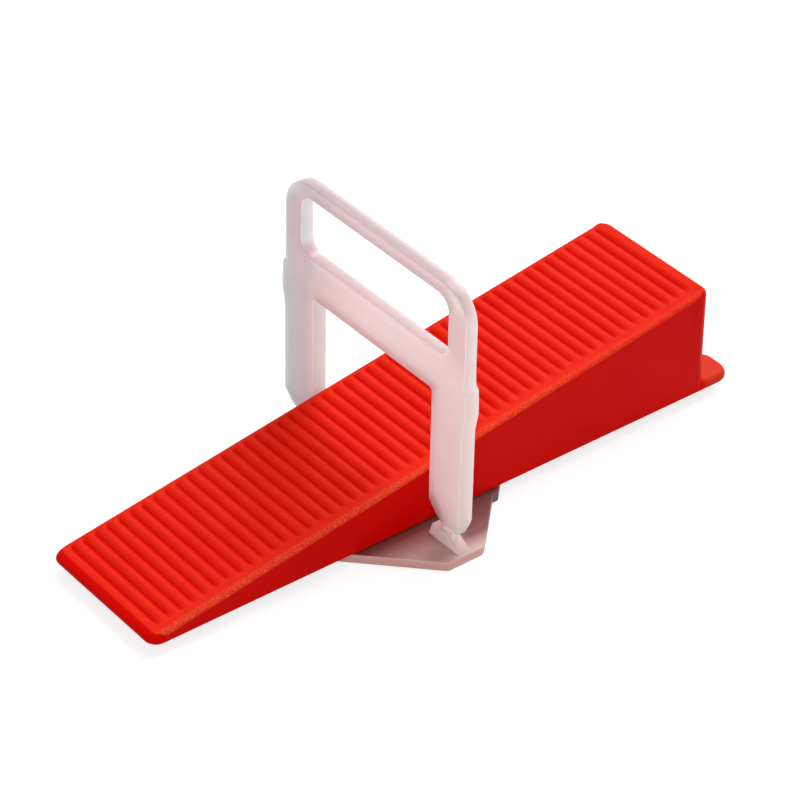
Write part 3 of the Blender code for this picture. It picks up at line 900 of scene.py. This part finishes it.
def plastic(name, flow_scale, grain_scale):
    """Start a material. Returns it with its tree and its shader, the outputs of the moulded surface and of the axes
    of Object coordinates, and the flow as a share."""
    material = bpy.data.materials.new(name)
    material.use_nodes = True
    tree = material.node_tree
    place = tree.nodes.new("ShaderNodeTexCoord").outputs["Object"]
    surface = tree.nodes.new("ShaderNodeGroup")
    surface.node_tree = moulded_surface
    fill(tree, surface, Vector=place, Flow_Scale=flow_scale, Grain_Scale=grain_scale)
    axes = add_node(tree, "ShaderNodeSeparateXYZ", Vector=place)
    flow = add_node(tree, "ShaderNodeMapRange", Value=surface.outputs["Flow"], From_Min=0.3, From_Max=0.7)
    return material, tree, tree.nodes["Principled BSDF"], surface.outputs, axes.outputs, flow.outputs[0]


def bumped(tree, height, strength, distance):
    """The normal of a surface raised by a height."""
    bump = add_node(tree, "ShaderNodeBump", Strength=strength, Distance=distance, Height=height)
    return bump.outputs["Normal"]


PLASTIC_IOR = 1.49
RED_VALLEY = ((0.68, 0.0013, 0.0003), (0.72, 0.0024, 0.0005))
# The crests' lighter, more orange red is a painted sheen.
RED_CREST_PAINTED_SHEEN = ((0.82, 0.018, 0.006), (0.87, 0.025, 0.009))
# The lip's paler red is a painted sheen, kept dark as painted shade against the light on its flat top.
RED_LIP_PAINTED_SHADE_AND_SHEEN = (0.685, 0.038, 0.016)
# The grain's paler points, and the share that picks them out, are painted glints.
RED_GRAIN_PAINTED_GLINTS = (0.92, 0.118, 0.05)
LIP_FADE = (-0.2, 0.6)
PAINTED_GLINT_SHARE = dict(From_Min=0.5, From_Max=0.62, To_Min=0.15, To_Max=0.9)
RED_ROUGHNESS = 0.33
ROUGHER_FLOW = 0.1
ROUGHER_GRAIN = 0.12
FAINT_GRAIN = 0.12
lip_along = (wedge_low[0] + WEDGE_LENGTH) / MM + np.array(LIP_FADE)


def red_plastic():
    """Red with a painted sheen on the crests, painted shade and sheen on the lip, painted glints in the grain's
    points, and grain in the bump.
    """
    material, tree, shader, surface, axes, flow = plastic("satin_red_plastic", flow_scale=160.0, grain_scale=4000.0)
    valley = mix_colours(tree, flow, *RED_VALLEY)
    # The crest colour is a painted sheen, mixed in by the crest mask.
    crest = mix_colours(tree, flow, *RED_CREST_PAINTED_SHEEN)
    red = mix_colours(tree, stored(tree, "crest"), valley, crest)
    # The lip's painted shade and sheen.
    red = mix_colours(tree, share_along(tree, axes["X"], *lip_along), red, RED_LIP_PAINTED_SHADE_AND_SHEEN)
    grain = stored(tree, "grain")
    # The grain's brightest points become painted glints.
    points = add_node(tree, "ShaderNodeMapRange", Value=surface["Grain"], **PAINTED_GLINT_SHARE)
    red = mix_colours(tree, math_node(tree, "MULTIPLY", grain, points.outputs[0]), red, RED_GRAIN_PAINTED_GLINTS)
    uneven = math_node(tree, "MULTIPLY", surface["Flow"], ROUGHER_FLOW)
    grainy = math_node(tree, "MULTIPLY", grain, ROUGHER_GRAIN)
    rough = math_node(tree, "ADD", math_node(tree, "ADD", grainy, uneven), RED_ROUGHNESS)
    height = math_node(tree, "MULTIPLY", math_node(tree, "ADD", grain, FAINT_GRAIN), surface["Grain"])
    fill(tree, shader, Base_Color=red, Roughness=rough, IOR=PLASTIC_IOR,
         Normal=bumped(tree, height, strength=1.0, distance=0.2 * MM),
         Specular_IOR_Level=0.06, Specular_Tint=(1.0, 0.2, 0.08, 1.0))
    return material


wedge.data.materials.append(red_plastic())
print("the wedge is", wedge.data.materials[0].name)

# %% [markdown]
# ### Milky plastic
#
# The clip is unpigmented plastic: light enters it, scatters and leaves again, so it glows at its edges and takes on
# some of the red beside it. Glass would be clear and paint would be dead. Subsurface scattering gives the milky
# depth, and a little transmission lets what lies behind show faintly. The tone isn't even, and that is painted
# light
# and shade: a painted red reflection makes the near leg rosy, and painted shade makes the far leg cooler and the
# handle darker. Those are shares along the axes.
#
# The plate is so thin that light leaves it at once, so it looks flatter. It gets a second material of the same
# kind, with less depth, and its colour carries a painted shadow of the wedge and a painted red reflection from it.

# %% Choose the tones of the milky plastic
MILK = ((0.89, 0.66, 0.665), (0.92, 0.72, 0.72))
# A painted red reflection of the wedge on the near leg.
ROSY_MILK_PAINTED_REFLECTION = ((0.99, 0.60, 0.595), (0.999, 0.66, 0.655))
# Painted shade on the far leg.
FAR_LEG_PAINTED_SHADE = (0.18, 0.36, 0.38)
# Painted shade up the handle, by the heights below.
HANDLE_PAINTED_SHADE = (0.11, 0.155, 0.18)
# Painted light on the near sides and painted shade on the far sides.
NEAR_SIDES_PAINTED_LIGHT = (0.999, 0.60, 0.56)
FAR_SIDES_PAINTED_SHADE = (0.48, 0.86, 0.88)
# A painted highlight on the rounded edges.
ROUNDED_EDGES_PAINTED_HIGHLIGHT = (0.999, 0.78, 0.74)
# Painted shade on the faces that look up.
TOPS_PAINTED_SHADE = (0.32, 0.285, 0.295)
# Painted shade at the necks.
NECKS_PAINTED_SHADE = (0.95, 0.64, 0.61)
STUBS = ((0.97, 0.80, 0.77), (0.99, 0.86, 0.83))
# Painted shade on the stubs' faces that look up.
STUB_TOPS_PAINTED_SHADE = (0.82, 0.61, 0.58)
# A painted red reflection on the plate's side.
PLATE_SIDE_PAINTED_REFLECTION = (0.76, 0.38, 0.345)
# A painted shadow of the wedge on the plate's step.
PLATE_STEP_PAINTED_SHADOW = (0.16, 0.06, 0.06)
# The plate's top: painted shadow beside the wedge and behind the stubs, painted red reflection further out.
PLATE_PAINTED_WEDGE_SHADOW = (0.215, 0.058, 0.052)
PLATE_OUTER_PAINTED_REFLECTION = (0.66, 0.42, 0.39)
PLATE_BEHIND_PAINTED_SHADE = (0.24, 0.10, 0.10)
PLATE_RIM_PAINTED_REFLECTION = (0.58, 0.38, 0.36)
# Heights and shares of the painted shade on the handle.
HANDLE_SHADE_HEIGHTS = [(24.0, 0.0), (28.0, 0.08), (32.5, 0.48), (38.5, 0.48), (40.2, 0.15), (41.4, 0.6), (42.0, 0.6)]
NEAR_ACROSS = (-4.0, -14.0)
FAR_ACROSS = (1.0, 14.5)
NECK_UP = (4.5, 3.6)
PLATE_SIDE_UP = (1.5, 1.3)
PLATE_STEP_ALONG = (3.0, 6.0)
PLATE_OUTER_ACROSS = (11.5, 15.5)
PLATE_BEHIND_ALONG = (-2.0, 3.0)
PLATE_RIM_ACROSS = (16.5, 18.5)


def share_by_height(tree, axes, stops):
    """A share read from straight lines between stops of height in millimetres and value."""
    top = stops[-1][0] * MM
    node = tree.nodes.new("ShaderNodeValToRGB")
    plug(tree, node.inputs[0], math_node(tree, "DIVIDE", axes["Z"], top))
    line = node.color_ramp.elements
    while len(line) < len(stops):
        line.new(1.0)
    for element, (height, value) in zip(line, stops):
        element.position = height * MM / top
        element.color = (value, value, value, 1.0)
    return node.outputs["Color"]


def frame_colour(tree, flow, axes):
    """Cloudy milk with painted light and shade: a painted red reflection on the near leg, painted shade on the far
    leg and up the handle, painted light and shade on the sides, a painted highlight on the rounded edges, and
    painted shade on the faces that look up and at the necks."""
    near_side = share_along(tree, axes["Y"], *NEAR_ACROSS)
    far_side = share_along(tree, axes["Y"], *FAR_ACROSS)
    # Painted red reflection on the near leg, painted shade on the far leg, and below, painted shade up the handle.
    tone = mix_colours(tree, near_side, mix_colours(tree, flow, *MILK), mix_colours(tree, flow, *ROSY_MILK_PAINTED_REFLECTION))
    tone = mix_colours(tree, far_side, tone, FAR_LEG_PAINTED_SHADE)
    tone = mix_colours(tree, share_by_height(tree, axes, HANDLE_SHADE_HEIGHTS), tone, HANDLE_PAINTED_SHADE)
    # Painted light and shade on the sides, a painted highlight on the rounded edges, painted shade on faces that
    # look up.
    sides = mix_colours(tree, far_side, NEAR_SIDES_PAINTED_LIGHT, FAR_SIDES_PAINTED_SHADE)
    for mask, share, colour in (("aside", 0.8, sides), ("edge", 0.8, ROUNDED_EDGES_PAINTED_HIGHLIGHT), ("up", 0.85, TOPS_PAINTED_SHADE)):
        tone = mix_colours(tree, math_node(tree, "MULTIPLY", stored(tree, mask), share), tone, colour)
    # Painted shade at the necks.
    return mix_colours(tree, share_along(tree, axes["Z"], *NECK_UP), tone, NECKS_PAINTED_SHADE)


def foot_colour(tree, flow, axes):
    """Milk on the stubs with painted shade on their tops, a painted red reflection on the plate's side, a painted
    shadow at the step, and on the plate's top a painted shadow beside the wedge and behind the stubs, with a
    painted red reflection further out and at the rim.
    """
    across = math_node(tree, "ABSOLUTE", axes["Y"], 0.0)
    # Painted shade on the stubs' tops.
    tone = mix_colours(tree, stored(tree, "up"), mix_colours(tree, flow, *STUBS), STUB_TOPS_PAINTED_SHADE)
    # Painted red reflection on the plate's side.
    tone = mix_colours(tree, share_along(tree, axes["Z"], *PLATE_SIDE_UP), tone, PLATE_SIDE_PAINTED_REFLECTION)
    # Painted shadow at the plate's step.
    tone = mix_colours(tree, share_along(tree, axes["X"], *PLATE_STEP_ALONG), tone, PLATE_STEP_PAINTED_SHADOW)
    # The plate's top: painted shadow beside the wedge and behind the stubs, painted red reflection out to the rim.
    top = mix_colours(tree, share_along(tree, across, *PLATE_OUTER_ACROSS), PLATE_PAINTED_WEDGE_SHADOW, PLATE_OUTER_PAINTED_REFLECTION)
    top = mix_colours(tree, share_along(tree, axes["X"], *PLATE_BEHIND_ALONG), top, PLATE_BEHIND_PAINTED_SHADE)
    top = mix_colours(tree, share_along(tree, across, *PLATE_RIM_ACROSS), top, PLATE_RIM_PAINTED_REFLECTION)
    return mix_colours(tree, stored(tree, "seat"), tone, top)


print(len(HANDLE_SHADE_HEIGHTS), "stops of height for the handle's tone")

# %% [markdown]
# Red light travels further in this plastic than green and blue, which is why thin edges look warm. The frame
# scatters light through its whole depth, the plate and the stubs for a quarter only.

# %% Make the milky plastic
MILK_ROUGHNESS = 0.3
MILK_ROUGHER_FLOW = 0.12
LIGHT_TRAVEL = (1.6, 0.7, 0.7)
SEE_THROUGH = 0.06


def milky_plastic(name, colour, cloud, depth):
    """Satin gloss with cloudy flow over a colour that light enters to a depth, where it scatters."""
    material, tree, shader, surface, axes, flow = plastic(name, flow_scale=170.0, grain_scale=1800.0)
    rough = math_node(tree, "MULTIPLY", surface["Flow"], MILK_ROUGHER_FLOW)
    rough = math_node(tree, "ADD", rough, MILK_ROUGHNESS)
    fill(tree, shader, Base_Color=colour(tree, flow, axes), Roughness=rough, IOR=PLASTIC_IOR,
         Normal=bumped(tree, surface["Grain"], strength=0.25, distance=0.05 * MM),
         Subsurface_Weight=cloud, Subsurface_Radius=LIGHT_TRAVEL, Subsurface_Scale=depth * MM,
         Transmission_Weight=SEE_THROUGH)
    return material


clip.data.materials.clear()
clip.data.materials.append(milky_plastic("cloudy_milky_plastic", frame_colour, cloud=1.0, depth=25.0))
clip.data.materials.append(milky_plastic("thin_milky_plastic", foot_colour, cloud=0.25, depth=4.0))
low_faces = (read_numbers(clip.data.polygons, "center", 3)[:, 2] < STUB_TOP * MM).astype(np.int32)
clip.data.polygons.foreach_set("material_index", low_faces)
print("the clip is", [material.name for material in clip.data.materials])
print(low_faces.sum(), "faces of the plate and the stubs have the second")

# %% [markdown]
# ## The studio
#
# The object stands on a plain white floor. The main light is soft and comes from above and behind on the right,
# which lights the ramp and leaves the near side of the wedge darker. A second lamp stands low in front and reaches
# the upright faces only. The rest is even light from all round. More lamps would only add more shadows.

# %% Set the floor, the light and the surroundings
WORLD_LIGHT = 0.46
FLOOR_SEEN = (0.41, 0.41, 0.41)
FLOOR_LIT = (0.56, 0.56, 0.56)
FLOOR_GLOW = 0.77
FLOOR_REACH = 3.0
FLOOR_GAP = 0.1 * MM
WHITE = (1.0, 1.0, 1.0, 1.0)
LIT_HEIGHT = 10.0 * MM


def seen_directly(tree):
    """1 for what the camera sees, straight, mirrored or through plastic, and 0 for what lights the object."""
    path = tree.nodes.new("ShaderNodeLightPath")
    mirrored = math_node(tree, "MAXIMUM", path.outputs["Is Glossy Ray"], path.outputs["Is Transmission Ray"])
    return math_node(tree, "MAXIMUM", path.outputs["Is Camera Ray"], mirrored)


def floor_material():
    """White floor that keeps the shadow. Where it is seen, a light of its own makes it paper white, and for the
    object it is only a pale sheet that sends some light back up."""
    material = bpy.data.materials.new("white_floor")
    material.use_nodes = True
    tree = material.node_tree
    seen = seen_directly(tree)
    fill(tree, tree.nodes["Principled BSDF"], Base_Color=mix_colours(tree, seen, FLOOR_LIT, FLOOR_SEEN),
         Roughness=0.9, Specular_IOR_Level=0.0, Emission_Color=WHITE,
         Emission_Strength=math_node(tree, "MULTIPLY", seen, FLOOR_GLOW))
    return material


def make_floor():
    """A square of floor just under the object."""
    square = ((-1, -1), (1, -1), (1, 1), (-1, 1))
    corners = np.array([(x * FLOOR_REACH, y * FLOOR_REACH, -FLOOR_GAP) for x, y in square])
    floor = new_piece("studio_floor", corners, [[0, 1, 2, 3]])
    floor.data.materials.append(floor_material())


def make_world():
    """Plain white light from all round, dimmer on the object than the white that the camera sees."""
    world = bpy.data.worlds.new("soft_surroundings")
    world.use_nodes = True
    tree = world.node_tree
    brighter = math_node(tree, "MULTIPLY", seen_directly(tree), 1.0 - WORLD_LIGHT)
    fill(tree, tree.nodes["Background"], Color=WHITE, Strength=math_node(tree, "ADD", brighter, WORLD_LIGHT))
    bpy.context.scene.world = world


def soft_lamp(name, direction, distance, size, strength):
    """A square lamp that looks at the object from a direction; its power grows with its distance squared."""
    lamp = bpy.data.lights.new(name, "AREA")
    lamp.shape = "SQUARE"
    lamp.size = size
    lamp.energy = strength * math.pi * 4 * distance ** 2
    holder = bpy.data.objects.new(name, lamp)
    bpy.context.scene.collection.objects.link(holder)
    towards = Vector(direction).normalized()
    holder.location = towards * distance + Vector((0.0, 0.0, LIT_HEIGHT))
    holder.rotation_euler = towards.to_track_quat("Z", "Y").to_euler()


make_floor()
make_world()
soft_lamp("main_lamp", direction=(0.72, 0.3, 1.05), distance=3.2, size=2.3, strength=0.67)
soft_lamp("front_lamp", direction=(-0.6, -0.8, 0.16), distance=1.5, size=1.0, strength=0.26)
print("floor, surroundings and two lamps")

# %% [markdown]
# ## The camera
#
# The photograph was taken with a long lens from above and to the left of the near side. A camera could be placed
# by eye, but fitting it to edges of both pieces gives the numbers that a photographer would set.

# %% Place the camera
CAMERA_AZIMUTH = math.radians(-38.90)
CAMERA_ELEVATION = math.radians(35.852)
CAMERA_ROLL = math.radians(1.252)
CAMERA_DISTANCE = 466.5 * MM
CAMERA_SIDEWAYS = 3.257 * MM
CAMERA_UPWARDS = 10.336 * MM
AIM_HEIGHT = 2.4 * MM
LENS = 156.51


def place_camera():
    """Look from azimuth and elevation, with the picture turned by the roll and moved by the two offsets."""
    back = Vector((math.sin(CAMERA_AZIMUTH) * math.cos(CAMERA_ELEVATION),
                   -math.cos(CAMERA_AZIMUTH) * math.cos(CAMERA_ELEVATION), math.sin(CAMERA_ELEVATION)))
    level = Vector((math.cos(CAMERA_AZIMUTH), math.sin(CAMERA_AZIMUTH), 0.0))
    upright = back.cross(level)
    right = level * math.cos(CAMERA_ROLL) + upright * math.sin(CAMERA_ROLL)
    up = upright * math.cos(CAMERA_ROLL) - level * math.sin(CAMERA_ROLL)
    spot = right * CAMERA_SIDEWAYS + up * CAMERA_UPWARDS + back * CAMERA_DISTANCE + Vector((0, 0, AIM_HEIGHT))
    lens = bpy.data.cameras.new("studio_camera")
    lens.lens = LENS
    lens.clip_start = 0.01
    lens.clip_end = 20.0
    camera = bpy.data.objects.new("studio_camera", lens)
    bpy.context.scene.collection.objects.link(camera)
    camera.matrix_world = Matrix.Translation(spot) @ Matrix((right, up, back)).transposed().to_4x4()
    bpy.context.scene.camera = camera
    return camera


camera = place_camera()
bpy.context.scene.view_settings.view_transform = "Standard"
print("camera at", [round(value, 4) for value in camera.matrix_world.translation])
